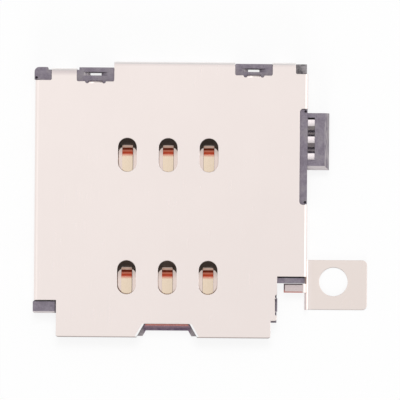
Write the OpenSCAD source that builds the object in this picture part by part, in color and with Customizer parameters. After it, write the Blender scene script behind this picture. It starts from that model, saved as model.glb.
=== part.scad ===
// Tray-type nano card socket: a folded sheet shell over a moulded housing with six spring contacts,
// a tray detect switch and one screw ear. It lies on its board face: z = 0 is the board, +Z is up,
// the tray goes in along +Y, and the origin is the middle of the contact grid.

/* [Contact grid] */
// Distance between neighbouring contacts in a row
column_pitch = 2.54; // [2.3:0.02:2.8]
// Distance between the two rows of contacts
row_pitch = 7.62; // [7:0.02:8.4]
// Width of the slot over each contact
slot_w = 1.17; // [0.9:0.01:1.4]
// Length of the slot over each contact
slot_len = 2.1; // [1.7:0.05:2.6]

/* [Shell] */
// Thickness of the sheet
sheet_t = 0.12; // [0.1:0.01:0.2]
// Inside radius of the folds
fold_r = 0.1; // [0.06:0.01:0.16]
// Height from the board to the top of the shell
overall_h = 1.45; // [1.4:0.01:1.8]
// From the left column of contacts to the outside of the left wall
left_margin = 5.76; // [5.5:0.02:6.4]
// From the right column of contacts to the outside of the right wall
right_margin = 6.15; // [5.9:0.02:6.8]
// From the front row of contacts to the front edge
front_margin = 3.74; // [3.6:0.02:4.4]
// From the rear row of contacts to the outside of the rear wall
rear_margin = 5.81; // [5.5:0.02:6.6]
// How far the left part of the rear wall is set in
rear_step = 0.44; // [0.3:0.02:0.6]
// Gap between the walls and the board
wall_gap = 0.1; // [0.06:0.01:0.2]
// Width of the solder feet under the walls
foot_w = 0.9; // [0.5:0.05:1.2]

/* [Wall ends] */
// Width of the open left rear corner
left_corner_w = 1.02; // [0.8:0.02:1.3]
// Depth of the open left rear corner
left_corner_d = 0.75; // [0.6:0.01:1]
// Width of the open right rear corner
right_corner_w = 0.78; // [0.6:0.01:1]
// Depth of the open right rear corner
right_corner_d = 0.7; // [0.55:0.01:0.9]
// Length of the catch windows in the side walls
catch_w = 1.3; // [0.8:0.05:1.6]
// Height of the catch windows in the side walls
catch_h = 0.42; // [0.3:0.01:0.5]
// Height of the middle of the catch windows above the board
catch_z = 0.72; // [0.6:0.01:0.8]
// Distance between the two catch windows in the left wall
catch_pitch = 6.6; // [5:0.1:8]

/* [Tongue over the tray entry] */
// Length of the tongue in front of the left wall
tongue_left_len = 2.28; // [2:0.02:2.6]
// Length of the tongue in front of the right wall's fold
tongue_right_len = 3.85; // [3.6:0.02:4.2]
// Lap of the tongue over the left rail
tongue_left_lap = 0.16; // [0.1:0.01:0.3]
// Reach of the tongue past the right side of the tray
tongue_right_lap = 0.09; // [0.06:0.01:0.2]
// Width of the step in the tongue's right front corner
tongue_step_w = 0.39; // [0.2:0.01:0.6]
// Length of the tongue's narrow front part
tongue_step_len = 1.08; // [0.8:0.02:1.2]
// Radius of the tongue's corners
tongue_r = 0.15; // [0.05:0.01:0.18]
// Depth of the finger notch in the tongue's front edge
notch_d = 0.85; // [0.6:0.01:1]
// Width of the finger notch at its inner end
notch_inner_w = 2.82; // [2.4:0.02:3.2]
// Width of the finger notch at the front edge
notch_outer_w = 3.78; // [3.4:0.02:4.2]

/* [Lock tabs] */
// Place of the left rear window across the shell
window_left_x = -4.56; // [-4.8:0.02:-4.3]
// Place of the right rear window across the shell
window_right_x = 5.3; // [5:0.02:5.5]
// Width of the rear windows
window_w = 2.34; // [2.1:0.02:2.5]
// Depth of the rear windows from the outside of the wall
window_d = 0.81; // [0.75:0.01:0.95]
// Radius of the inner corners of the rear windows and the open corners
window_r = 0.1; // [0.04:0.01:0.14]
// Width of the lock tabs
lock_w = 0.8; // [0.6:0.02:1]
// Width of the round relief cut on each side of a lock tab
relief_w = 0.25; // [0.16:0.01:0.3]
// Inside radius of the lock tabs' folds
lock_fold_r = 0.03; // [0.02:0.01:0.06]
// Reach of the lock tabs below the top of the shell
lock_drop = 1; // [0.7:0.02:1.2]
// Place of the side post behind the tongue's front edge
side_lock_back = 2.07; // [1.9:0.01:2.3]

/* [Screw ear] */
// Length of the ear along the wall
ear_w = 3.11; // [2.8:0.01:3.6]
// How far the ear runs back beside the folded wall
ear_back = 1.03; // [0.8:0.01:1.3]
// Reach of the ear from the outside of the wall
ear_reach = 3.81; // [3.2:0.01:4.6]
// Radius of the ear's corners
ear_r = 0.3; // [0.1:0.02:0.5]
// Inside radius of the fold between wall and ear
ear_fold_r = 0.14; // [0.08:0.01:0.25]
// Diameter of the screw hole
hole_d = 1.8; // [1.2:0.05:2]
// From the outside of the wall to the middle of the hole
hole_out = 1.71; // [1.5:0.01:2]
// From the ear's rear edge to the middle of the hole
hole_in = 1.36; // [1.3:0.01:1.7]

/* [Stop tab] */
// Width of the tab folded inward from the wall above the ear
stop_w = 0.56; // [0.4:0.01:0.8]
// Reach of the tab from the outside of the wall
stop_reach = 1.42; // [1:0.01:1.6]
// Height of the top of the tab above the board
stop_z = 1; // [0.85:0.01:1.15]
// Gap between the tab and the right rail's front end
stop_gap = 0.03; // [0.02:0.01:0.1]

/* [Housing] */
// Thickness of the floor
floor_t = 0.32; // [0.28:0.01:0.4]
// Width of the left rail
left_rail_w = 1.41; // [1.2:0.01:1.7]
// Width of the right rail
right_rail_w = 1.8; // [1.6:0.01:2.1]
// Depth of the rear stop behind the tray
rear_stop_d = 1.34; // [1.1:0.02:1.6]
// Clearance between the shell and the housing
fit = 0.02; // [0.01:0.005:0.04]
// Gap between the lugs and the ends of the walls
lug_gap = 0.03; // [0.02:0.01:0.08]
// How far the left lugs stand out past the left and rear walls
lug_proud = 0.06; // [0.02:0.01:0.12]
// How far the right rear lugs stop short of the walls
lug_short = 0.09; // [0.02:0.01:0.1]
// Radius of the left rear lug's corner
lug_r = 0.3; // [0.1:0.02:0.5]
// Length of the left rail's front end past the left wall
left_end_len = 0.81; // [0.6:0.01:1]
// Bevel along the top front edge of the left rail
left_end_bevel = 0.12; // [0.05:0.01:0.25]
// Radius of the outer corners of the left rail's front end
left_end_r = 0.12; // [0.04:0.01:0.2]
// Breadth of the grooves beside the shell's edges in the rails' front ends
groove_b = 0.08; // [0.05:0.01:0.12]
// Depth of those grooves
groove_d = 0.3; // [0.1:0.01:0.5]
// Length of the right rail's front end past the right wall's fold
right_end_len = 0.41; // [0.3:0.01:0.6]
// How far the floor's left and front edges lie inside the tongue's edges
floor_inset = 0.05; // [0.03:0.01:0.1]
// How far the floor shows in front of the tongue's right step
step_show = 0.14; // [0.06:0.01:0.2]
// Thickness of the side post on the floor's edge
post_t = 0.12; // [0.1:0.01:0.2]
// How far the top of the side post lies below the top of the shell
post_drop = 0.3; // [0.15:0.01:0.5]
// Depth of the floor's finger notch from the tongue's front edge
floor_notch_d = 0.4; // [0.3:0.01:0.5]
// Width of the floor's finger notch at its inner end
floor_notch_inner_w = 2.65; // [2.2:0.02:2.8]
// Width of the floor's finger notch at the front edge
floor_notch_outer_w = 3.11; // [2.9:0.02:3.4]
// Width of the pocket in the top of each window's lug, which slopes down to the slit
lug_pocket_w = 1.55; // [1.3:0.02:1.8]
// Depth of that pocket
lug_pocket_d = 0.35; // [0.2:0.01:0.6]
// Breadth of that pocket
lug_pocket_b = 0.24; // [0.2:0.01:0.3]
// Width of the slit through each window's lug
slit_w = 0.72; // [0.5:0.02:1]
// Breadth of the slit through each window's lug
slit_b = 0.18; // [0.12:0.01:0.22]
// From the rear face of a window's lug to the middle of its slit
slit_in = 0.4; // [0.34:0.01:0.45]
// Depth of the cuts in the lugs beside the left part of the rear wall
lug_cut_d = 0.155; // [0.1:0.005:0.2]
// Width of the cut in the left rear lug
corner_cut_w = 0.24; // [0.1:0.01:0.3]
// Width of the cut in the left window's lug
window_cut_w = 0.13; // [0.06:0.01:0.2]
// Diameter of the small core-pin holes at the ends of the bar and in the left rear lug
pin_d = 0.16; // [0.1:0.01:0.2]
// From the nearest outside faces to the middle of those holes
pin_in = 0.12; // [0.11:0.01:0.2]
// Depth of those holes
pin_depth = 0.4; // [0.2:0.01:0.6]
// Diameter of the ejector marks under the housing
ejector_d = 0.9; // [0.6:0.02:1.1]
// Depth of the ejector marks
ejector_depth = 0.03; // [0.02:0.005:0.06]

/* [Contacts] */
// Thickness of the contact strip
contact_t = 0.1; // [0.08:0.01:0.14]
// Width of the contact strip
contact_w = 0.66; // [0.5:0.02:0.8]
// From the flexing line to the highest point of the nose
arm_len = 2.2; // [1.9:0.02:2.4]
// From the middle of the slot back to the highest point of the nose
nose_back = 0.1; // [0:0.01:0.2]
// Height of the nose above the board
nose_z = 1.08; // [0.9:0.01:1.2]
// Radius of the nose
nose_r = 0.35; // [0.25:0.01:0.5]
// Slope of the tip
tip_angle = 36; // [30:1:48]
// Reach of the tip past the highest point of the nose
tip_reach = 0.72; // [0.5:0.01:0.8]
// From the highest point of the nose back to the knee in the arm
knee_back = 1.1; // [1:0.02:1.3]
// Middle radius of the knee
knee_r = 0.3; // [0.2:0.01:0.5]
// Slope of the arm between the knee and the nose
lead_angle = 9; // [8:0.5:12]
// Angle that the arm can be pressed down
arm_travel = 8; // [5:0.5:9]
// Radius of the round at each flexing line, past half the strip
knuckle_extra = 0.01; // [0.005:0.005:0.02]
// Gap at each flexing line
flex_gap = 0.01; // [0.005:0.005:0.02]
// Length of the flat bar of the frame behind the flexing line
tail_flat = 0.16; // [0.1:0.01:0.25]
// Length of the solder foot
tail_foot = 0.38; // [0.2:0.01:0.5]
// Slope of the step down to the solder foot
tail_slope = 60; // [45:1:75]
// Gap between each arm and the frame that it is cut from
frame_gap = 0.04; // [0.03:0.01:0.1]
// Width of each frame and of the well behind it
well_w = 1.3; // [1.2:0.02:1.6]
// From the middle of the slot to the end of the frame's round rear
well_rear = 0.6; // [0.2:0.01:0.7]
// Length of the well behind the frame's round rear
tip_pocket_len = 0.8; // [0.6:0.01:1]
// Diameter of the core-pin hole in the floor under each arm
well_hole_d = 0.5; // [0.3:0.02:0.6]
// Clearance under the tip of a pressed arm
tip_gap = 0.05; // [0.02:0.01:0.08]

/* [Detect switch] */
// Middle of the opening in the right wall, from the middle of the grid
gap_y = 3.77; // [3.5:0.01:4]
// Length of the opening in the right wall
gap_len = 5.96; // [5.6:0.02:6.3]
// Depth of the opening from the outside of the right wall
gap_d = 0.51; // [0.4:0.01:0.6]
// Radius of the opening's inner corners
gap_r = 0.2; // [0.08:0.01:0.25]
// Length of the switch block
block_len = 3.54; // [3.4:0.02:3.9]
// From the rear end of the opening to the rear face of the block
block_in = 0.245; // [0.15:0.005:0.35]
// Reach of the block from the outside of the right wall
block_reach = 1.34; // [1.25:0.01:1.7]
// Height of the block
block_h = 1.15; // [1.1:0.01:1.3]
// Width of the bevel along the block's outer edge
block_bevel = 0.28; // [0.1:0.01:0.35]
// Width of the bevel along the block's front edge
block_front_bevel = 0.25; // [0.1:0.01:0.4]
// Distance between neighbouring terminals
terminal_pitch = 1.05; // [0.95:0.01:1.1]
// From the rear face of the block to the middle of the first terminal
terminal_in = 0.615; // [0.5:0.005:0.7]
// Width of the terminal strip
terminal_w = 0.42; // [0.3:0.01:0.5]
// Thickness of the terminal strip
terminal_t = 0.1; // [0.08:0.01:0.12]
// Height of the top of the terminals above the board
terminal_z = 1; // [0.95:0.01:1.05]
// Middle radius of the terminals' bends
terminal_r = 0.12; // [0.08:0.01:0.14]
// Length of the terminals' solder feet
terminal_foot = 0.36; // [0.2:0.01:0.45]
// Reach of the openings over the terminals, from the outside of the wall
peep_reach = 0.44; // [0.3:0.01:0.5]
// Room behind each terminal in its opening
peep_room = 0.1; // [0.04:0.01:0.14]
// Depth of that room below the top of the terminals
peep_room_d = 0.2; // [0.1:0.01:0.3]
// How far the ribs between the openings lie below the top of the block
rib_drop = 0.1; // [0.04:0.01:0.14]
// Breadth of the saw cuts between the openings
saw_b = 0.14; // [0.1:0.01:0.2]
// Depth of the saw cuts
saw_d = 0.45; // [0.3:0.01:0.6]
// From the side of the tray to the leaf's flexing line
leaf_setback = 1.1; // [1:0.01:1.2]
// From the leaf's flexing line to its nose
leaf_len = 2.75; // [2.5:0.01:2.9]
// Reach of the leaf's nose into the tray's path
leaf_reach = 0.2; // [0.1:0.01:0.3]
// Radius of the leaf's nose
leaf_r = 0.3; // [0.2:0.01:0.4]
// Slope of the leaf's tip
leaf_tip_angle = 35; // [25:1:45]
// Reach of the leaf's tip past its nose
leaf_tip_reach = 0.5; // [0.35:0.01:0.6]
// Angle that the tray pushes the leaf aside
leaf_travel = 5; // [3:0.5:6]
// Height of the leaf
leaf_h = 0.6; // [0.5:0.01:0.65]
// Gap between the leaf's lower edge and the terminal under it
leaf_lift = 0.05; // [0.03:0.01:0.08]
// Gap between the leaf and a terminal that it touches
touch_gap = 0.02; // [0.01:0.005:0.03]
// Room round the leaf in the rail's pocket
leaf_room = 0.12; // [0.08:0.01:0.2]

/* [Hidden] */
$fn = 48;
lap = 1; // how far cutters run past a face
contacts = 6;
columns = 3;

// Outside faces of the shell and the edges of its flat
fold_out = fold_r + sheet_t;
x_left = -column_pitch - left_margin;
x_right = column_pitch + right_margin;
y_front = -row_pitch / 2 - front_margin;
y_rear = row_pitch / 2 + rear_margin;
y_rear_left = y_rear - rear_step;
y_left_end = y_front + tongue_left_len;
y_right_end = y_front + tongue_right_len;
y_left_top = y_rear_left - left_corner_d;
y_right_top = y_rear - right_corner_d;
gap_front = gap_y - gap_len / 2;
gap_rear = gap_y + gap_len / 2;
ear_rear = y_right_end + ear_back;
ear_front = ear_rear - ear_w;

// Faces of the housing
wall_in = sheet_t + fit;
rail_top = overall_h - wall_in;
channel_left = x_left + wall_in + left_rail_w;
channel_right = x_right - wall_in - right_rail_w;
channel_rear = y_rear_left - wall_in - rear_stop_d;
y_left_rail = y_left_end - left_end_len;
y_right_rail = y_right_end - right_end_len;
lug_left = x_left - lug_proud;
corner_y = y_left_top + lug_gap;
bar_out = x_right - lug_gap;
tongue_left = channel_left - tongue_left_lap;
tongue_right = channel_right + tongue_right_lap;
y_step = y_front + tongue_step_len;

// Rear windows: place across the shell, rear face of the wall and rear face of the lug there
windows = [
    [window_left_x, y_rear_left, y_rear_left + lug_proud],
    [window_right_x, y_rear, y_rear - lug_short]
];
relief_r = relief_w / 2;
lock_out = lock_fold_r + sheet_t;
window_step_x = window_left_x + window_w / 2;
y_side_lock = y_front + side_lock_back;

// Contacts: 1 to 3 are the rear row and 4 to 6 the front row, each from left to right
function slot_x(n) = (((n - 1) % columns) - 1) * column_pitch;
function slot_y(n) = (n <= columns ? 1 : -1) * row_pitch / 2;
function root_y(n) = slot_y(n) - nose_back - arm_len;
root_z = floor_t - contact_t / 2;
knuckle_r = contact_t / 2 + knuckle_extra;
tail_start = knuckle_r + flex_gap;
frame_hole_w = contact_w + 2 * frame_gap;
function frame_round_y(n) = slot_y(n) + well_rear - well_w / 2;
tail_drop = floor_t - contact_t;
tail_ramp = (tail_drop - 2 * contact_t * (1 - cos(tail_slope))) / sin(tail_slope);

// Points along the middle of a bent strip, each with its heading.
// The path is a list of [straight run, turn, middle radius of the bend].
bend_step = 10; // degrees between points on a bend
square_bend = 90; // degrees of the terminals' bends
function trace(path, h, x = 0, y = 0, i = 0) =
    i == len(path) ? [] :
    let (
        run = path[i][0],
        turn = path[i][1],
        r = path[i][2],
        side = sign(turn),
        x1 = x + run * cos(h),
        y1 = y + run * sin(h),
        steps = max(1, ceil(abs(turn) / bend_step)),
        arc = [
            for (k = [1 : steps])
            let (a = h + turn * k / steps)
            [x1 + side * r * (sin(a) - sin(h)), y1 - side * r * (cos(a) - cos(h)), a]
        ],
        last = turn == 0 ? [x1, y1, h] : arc[steps - 1]
    )
    concat(
        i == 0 ? [[x, y, h]] : [],
        [[x1, y1, h]],
        turn == 0 ? [] : arc,
        trace(path, last[2], last[0], last[1], i + 1)
    );
function beside(p, d) = [p[0] - d * sin(p[2]), p[1] + d * cos(p[2])];

// The leaf rises in a straight line, rolls over a nose and falls to its tip
function finger_slope(run, rise, r) = atan2(rise - r, run) + asin(r / norm([run, rise - r]));
function finger_straight(run, rise, r) = sqrt(run * run + (rise - r) * (rise - r) - r * r);
function finger_path(run, rise, r, fall, reach) = [
    [finger_straight(run, rise, r), -finger_slope(run, rise, r) - fall, r],
    [(reach - r * sin(fall)) / cos(fall), 0, 0]
];
arm_rise = nose_z - floor_t;

// The arm climbs to its knee, leads on gently to the nose and falls to its tip
knee_run = arm_len - knee_back;
lead_end = [arm_len - nose_r * sin(lead_angle), arm_rise - nose_r * (1 - cos(lead_angle))];
knee_rise = lead_end[1] - (lead_end[0] - knee_run) * tan(lead_angle);
arm_slope = atan2(knee_rise, knee_run);
knee_round = knee_r * tan((arm_slope - lead_angle) / 2);
arm_path = [
    [norm([knee_run, knee_rise]) - knee_round, lead_angle - arm_slope, knee_r],
    [(lead_end[0] - knee_run) / cos(lead_angle) - knee_round, -lead_angle - tip_angle, nose_r],
    [(tip_reach - nose_r * sin(tip_angle)) / cos(tip_angle), 0, 0]
];

// Lowest corner of the tip of a fully pressed arm, which the pocket under it clears
arm_points = trace(arm_path, arm_slope);
tip_low = beside(arm_points[len(arm_points) - 1], -contact_t / 2);
tip_pressed_z = root_z - tip_low[0] * sin(arm_travel) + tip_low[1] * cos(arm_travel);
tip_pocket_z = tip_pressed_z - tip_gap;

// Detect switch: terminal 1 carries the leaf, 2 is touched at rest and 3 when the tray is in
block_rear = gap_rear - block_in;
block_front = block_rear - block_len;
function terminal_y(n) = block_rear - terminal_in - (n - 1) * terminal_pitch;
peep_end = x_right + peep_reach;
leaf_x = channel_right + leaf_setback;
leaf_y = terminal_y(1) - terminal_w / 2 - knuckle_r - flex_gap;
leaf_z = floor_t + terminal_t + leaf_lift;
leaf_rise = leaf_setback + leaf_reach - terminal_t / 2;
leaf_slope = finger_slope(leaf_len, leaf_rise, leaf_r);
leaf_path = finger_path(leaf_len, leaf_rise, leaf_r, leaf_tip_angle, leaf_tip_reach);
half_t = terminal_t / 2;
closed_run = leaf_y - terminal_y(2) + terminal_w / 2;
closed_x = leaf_x - closed_run * tan(leaf_slope) - half_t / cos(leaf_slope) - touch_gap - half_t;
open_run = leaf_y - terminal_y(3) - terminal_w / 2;
open_slope = leaf_slope - leaf_travel;
open_x = leaf_x - open_run * tan(open_slope) + half_t / cos(open_slope) + touch_gap + half_t;
bar_x = x_right - gap_d + terminal_r;
pocket_front = leaf_y - leaf_len - leaf_tip_reach - leaf_room;
pocket_rear = terminal_y(1) + terminal_w / 2 + leaf_room;

steel = [0.95, 0.91, 0.89];
moulding = [0.48, 0.44, 0.5];
gold = [0.9, 0.76, 0.5];
tin = [0.9, 0.88, 0.88];

// A slot with round ends, along Y
module stadium(w, len) {
    square([w, len - w], center = true);
    for (side = [-1, 1]) translate([0, side * (len - w) / 2]) circle(w / 2);
}

// The piece that rounds off a square corner, whose point is at the origin
module corner_off(r) {
    difference() {
        square(r);
        translate([r, r]) circle(r);
    }
}

// A strip of sheet seen on edge, following a path
module strip(path, t, h = 0) {
    points = trace(path, h);
    count = len(points);
    polygon(concat(
        [for (p = points) beside(p, -t / 2)],
        [for (k = [1 : count]) beside(points[count - k], t / 2)]
    ));
}

// Section through a fold: the flat ends at the origin, the wall stands to the right and hangs down
module fold_section(drop, r = fold_r) {
    out = r + sheet_t;
    intersection() {
        translate([0, -out]) difference() {
            circle(out);
            circle(r);
        }
        translate([0, -out]) square(out);
    }
    if (drop > out) translate([r, -drop]) square([sheet_t, drop - out]);
}

// A folded wall along +Y, outside to +X, with solder feet at the given places along it
module wall(run, bottom, feet = []) {
    translate([0, run, 0]) rotate([90, 0, 0]) linear_extrude(run) fold_section(overall_h - bottom);
    for (at = feet) translate([fold_r, at - foot_w / 2, -overall_h]) cube([sheet_t, foot_w, bottom]);
}
module right_wall(y0, y1, bottom, feet = []) {
    translate([x_right - fold_out, y0, overall_h]) wall(y1 - y0, bottom, feet);
}
module left_wall(y0, y1, bottom, feet = []) {
    translate([x_left + fold_out, y0, overall_h]) mirror([1, 0, 0]) wall(y1 - y0, bottom, feet);
}
module rear_wall(x0, x1, y, bottom, feet = []) {
    translate([x1, y - fold_out, overall_h]) rotate(90) wall(x1 - x0, bottom, feet);
}

// Outline of the shell's flat, before its windows and slots are cut
module shell_blank() {
    polygon([
        [tongue_left, y_front],
        [tongue_right - tongue_step_w, y_front],
        [tongue_right - tongue_step_w, y_step],
        [tongue_right, y_step],
        [tongue_right, y_right_end],
        [x_right - fold_out, y_right_end],
        [x_right - fold_out, y_right_top],
        [x_right - right_corner_w, y_right_top],
        [x_right - right_corner_w, y_rear - fold_out],
        [window_step_x, y_rear - fold_out],
        [window_step_x, y_rear_left - fold_out],
        [x_left + left_corner_w, y_rear_left - fold_out],
        [x_left + left_corner_w, y_left_top],
        [x_left + fold_out, y_left_top],
        [x_left + fold_out, y_left_end],
        [tongue_left, y_left_end]
    ]);
    translate([x_left + left_corner_w, y_left_top]) mirror([1, 0]) corner_off(window_r);
    translate([x_right - right_corner_w, y_right_top]) corner_off(window_r);
}

// Room for a lock tab or post at an edge that runs along X: the flat is cut back between two round reliefs
module lock_cut() {
    translate([-lock_w / 2, -relief_r]) square([lock_w, relief_r + lap]);
    for (side = [-1, 1]) translate([side * (lock_w / 2 + relief_r), 0]) circle(relief_r);
}

// A window in the rear edge, with round inner corners
module rear_window() {
    translate([-window_w / 2, 0]) difference() {
        square([window_w, window_d + lap]);
        corner_off(window_r);
        translate([window_w, 0]) mirror([1, 0]) corner_off(window_r);
    }
}

// A lock tab folded down from an edge that runs along X
module lock_tab() {
    translate([lock_w / 2, -relief_r, overall_h]) rotate(90) translate([0, lock_w, 0]) rotate([90, 0, 0])
        linear_extrude(lock_w) fold_section(lock_drop, lock_fold_r);
}

// The slot in the housing that takes a lock tab
module lock_slot() {
    wide = lock_w + 2 * fit;
    translate([-wide / 2, lock_fold_r - relief_r - fit, overall_h - lock_drop - fit])
        cube([wide, sheet_t + 2 * fit, overall_h]);
    translate([-wide / 2, -relief_r - fit, overall_h - lock_out]) cube([wide, lock_out + 2 * fit, overall_h]);
}

// A trapezoid notch in an edge along X at y = 0, reaching to +Y
module finger_notch(inner_w, outer_w, depth) {
    slope = (outer_w - inner_w) / 2 / depth;
    polygon([
        [-outer_w / 2 - lap * slope, -lap],
        [outer_w / 2 + lap * slope, -lap],
        [inner_w / 2, depth],
        [-inner_w / 2, depth]
    ]);
}

module shell_flat() {
    difference() {
        shell_blank();
        for (n = [1 : contacts]) translate([slot_x(n), slot_y(n)]) stadium(slot_w, slot_len);
        for (w = windows) translate([w[0], w[1] - window_d]) {
            rear_window();
            lock_cut();
        }
        translate([tongue_right, y_side_lock]) rotate(-90) lock_cut();
        translate([0, y_front]) finger_notch(notch_inner_w, notch_outer_w, notch_d);
        switch_opening();
        translate([tongue_left, y_front]) corner_off(tongue_r);
        translate([tongue_right - tongue_step_w, y_front]) mirror([1, 0]) corner_off(tongue_r);
        translate([tongue_right, y_step]) mirror([1, 0]) corner_off(tongue_r);
    }
}

// The opening in the right edge of the flat, with round inner corners
module switch_opening() {
    translate([x_right - gap_d, gap_front]) {
        translate([gap_r, 0]) square([gap_d + lap, gap_len]);
        translate([0, gap_r]) square([gap_r, gap_len - 2 * gap_r]);
        for (y = [gap_r, gap_len - gap_r]) translate([gap_r, y]) circle(gap_r);
    }
}

// Places of the catches: [+1 for the right wall or -1 for the left, middle along Y]
left_mid = (y_left_end + y_left_top) / 2;
catches = [
    [-1, left_mid - catch_pitch / 2],
    [-1, left_mid + catch_pitch / 2],
    [1, (ear_rear + gap_front) / 2],
    [1, (gap_rear + y_right_top) / 2]
];
function side_x(side) = side > 0 ? x_right : x_left;

// The ear: a flat with round corners and the screw hole, folded out from the foot of the wall
module ear() {
    flat_x = x_right + ear_fold_r;
    end_x = x_right + ear_reach;
    linear_extrude(sheet_t) difference() {
        translate([flat_x, ear_front]) square([end_x - flat_x, ear_w]);
        translate([end_x, ear_front]) mirror([1, 0]) corner_off(ear_r);
        translate([end_x, ear_rear]) mirror([1, 0]) mirror([0, 1]) corner_off(ear_r);
        translate([x_right + hole_out, ear_rear - hole_in]) circle(hole_d / 2);
    }
    out_r = ear_fold_r + sheet_t;
    translate([flat_x, ear_rear, out_r]) rotate([90, 0, 0]) linear_extrude(ear_w) intersection() {
        difference() {
            circle(out_r);
            circle(ear_fold_r);
        }
        translate([-out_r, -out_r]) square(out_r);
    }
}

// The wall in front of the fold, with the stop tab folded inward from its top
module ear_wall() {
    foot_z = ear_fold_r + sheet_t;
    wall_top = stop_z - fold_out;
    translate([x_right - sheet_t, ear_front, foot_z])
        cube([sheet_t, y_right_end - ear_front, wall_top - foot_z]);
    stop_rear = y_right_rail - stop_gap;
    translate([x_right - fold_out, stop_rear, stop_z]) rotate([90, 0, 0])
        linear_extrude(stop_w) fold_section(fold_out);
    translate([x_right - stop_reach, stop_rear - stop_w, stop_z - sheet_t])
        cube([stop_reach - fold_out, stop_w, sheet_t]);
}

module shell() {
    color(steel) difference() {
        union() {
            translate([0, 0, overall_h - sheet_t]) linear_extrude(sheet_t) shell_flat();
            left_len = y_left_top - y_left_end;
            left_wall(y_left_end, y_left_top, wall_gap, [foot_w, left_len / 2, left_len - foot_w]);
            right_wall(y_right_end, ear_rear, ear_fold_r + sheet_t);
            right_wall(ear_rear, gap_front, wall_gap, [gap_front - ear_rear - foot_w]);
            right_wall(gap_rear, y_right_top, wall_gap, [(y_right_top - gap_rear) / 2]);
            rear_left = x_left + left_corner_w;
            left_edge = window_left_x - window_w / 2;
            rear_wall(rear_left, left_edge, y_rear_left, wall_gap, [(left_edge - rear_left) / 2]);
            mid_left = window_left_x + window_w / 2;
            mid_right = window_right_x - window_w / 2;
            rear_wall(mid_left, mid_right, y_rear, wall_gap, [foot_w, mid_right - mid_left - foot_w]);
            right_edge = window_right_x + window_w / 2;
            rear_right = x_right - right_corner_w;
            rear_wall(right_edge, rear_right, y_rear, wall_gap, [(rear_right - right_edge) / 2]);
            for (w = windows) translate([w[0], w[1] - window_d, 0]) lock_tab();
            ear();
            ear_wall();
        }
        for (c = catches) translate([side_x(c[0]), c[1], catch_z])
            cube([fold_out * 2, catch_w, catch_h], center = true);
    }
}

// Outline of the rails and the rear stop, set in from the walls by inset
module rail_outline(inset) {
    polygon([
        [x_left + wall_in + inset, y_left_rail],
        [channel_left, y_left_rail],
        [channel_left, channel_rear],
        [channel_right, channel_rear],
        [channel_right, y_right_rail],
        [x_right - wall_in - inset, y_right_rail],
        [x_right - wall_in - inset, y_rear - wall_in - inset],
        [window_step_x, y_rear - wall_in - inset],
        [window_step_x, y_rear_left - wall_in - inset],
        [x_left + wall_in + inset, y_rear_left - wall_in - inset]
    ]);
}

// The lugs that fill the open corners, the rear windows and the opening in the right wall
module lug_outline() {
    corner_x = x_left + left_corner_w - lug_gap;
    lug_rear = y_rear_left + lug_proud;
    difference() {
        translate([lug_left, corner_y]) square([corner_x - lug_left, lug_rear - corner_y]);
        translate([lug_left, lug_rear]) mirror([0, 1]) corner_off(lug_r);
        translate([corner_x - corner_cut_w, lug_rear - lug_cut_d]) square([corner_cut_w, lug_cut_d]);
    }
    end_rear = y_left_end - lug_gap;
    difference() {
        translate([lug_left, y_left_rail]) square([channel_left - lug_left, end_rear - y_left_rail]);
        translate([lug_left, y_left_rail]) corner_off(left_end_r);
        translate([lug_left, end_rear]) mirror([0, 1]) corner_off(left_end_r);
    }
    right_x = x_right - right_corner_w + lug_gap;
    right_y = y_right_top + lug_gap;
    translate([right_x, right_y]) square([x_right - lug_short - right_x, y_rear - lug_short - right_y]);
    difference() {
        for (w = windows) {
            inner = w[1] - window_d;
            translate([w[0] - window_w / 2 + lug_gap, inner]) square([window_w - 2 * lug_gap, w[2] - inner]);
        }
        translate([window_left_x - window_w / 2 + lug_gap, lug_rear - lug_cut_d])
            square([window_cut_w, lug_cut_d]);
    }
    translate([channel_right + leaf_setback, gap_front + lug_gap])
        square([bar_out - channel_right - leaf_setback, gap_len - 2 * lug_gap]);
}

module floor_outline() {
    difference() {
        polygon([
            [tongue_left + floor_inset, y_front + floor_inset],
            [tongue_right - tongue_step_w - floor_inset, y_front + floor_inset],
            [tongue_right - tongue_step_w - floor_inset, y_step - step_show],
            [tongue_right, y_step - step_show],
            [tongue_right, y_right_rail],
            [x_right - wall_in, y_right_rail],
            [x_right - wall_in, y_rear - wall_in],
            [window_step_x, y_rear - wall_in],
            [window_step_x, y_rear_left - wall_in],
            [x_left + wall_in, y_rear_left - wall_in],
            [x_left + wall_in, y_left_rail],
            [tongue_left + floor_inset, y_left_rail]
        ]);
        translate([0, y_front]) finger_notch(floor_notch_inner_w, floor_notch_outer_w, floor_notch_d);
    }
}

// The switch block: bevelled along its outer and front edges
module switch_block() {
    inner = x_right - wall_in - fold_r;
    outer = x_right + block_reach;
    intersection() {
        translate([0, block_rear, 0]) rotate([90, 0, 0]) linear_extrude(block_len) polygon([
            [inner, 0], [outer, 0], [outer, block_h - block_bevel],
            [outer - block_bevel, block_h], [inner, block_h]
        ]);
        translate([inner, 0, 0]) rotate([90, 0, 90]) linear_extrude(outer - inner) polygon([
            [block_front, 0], [block_rear, 0], [block_rear, block_h],
            [block_front + block_front_bevel, block_h], [block_front, block_h - block_front_bevel]
        ]);
    }
}

// Openings over the terminals, with a low rib and a saw cut between each pair
module terminal_openings() {
    peep_w = terminal_w + 2 * fit;
    for (n = [1 : 3]) translate([x_right, terminal_y(n), 0]) {
        translate([0, -peep_w / 2, terminal_z]) cube([peep_reach, peep_w, block_h]);
        translate([0, peep_w / 2, terminal_z - peep_room_d]) cube([peep_reach, peep_room, block_h]);
    }
    translate([x_right, terminal_y(3), block_h - rib_drop]) cube([peep_reach, 2 * terminal_pitch, lap]);
    for (n = [1, 2]) translate([x_right, terminal_y(n) - terminal_pitch / 2 - saw_b / 2, block_h - saw_d])
        cube([peep_reach, saw_b, block_h]);
}

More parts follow.
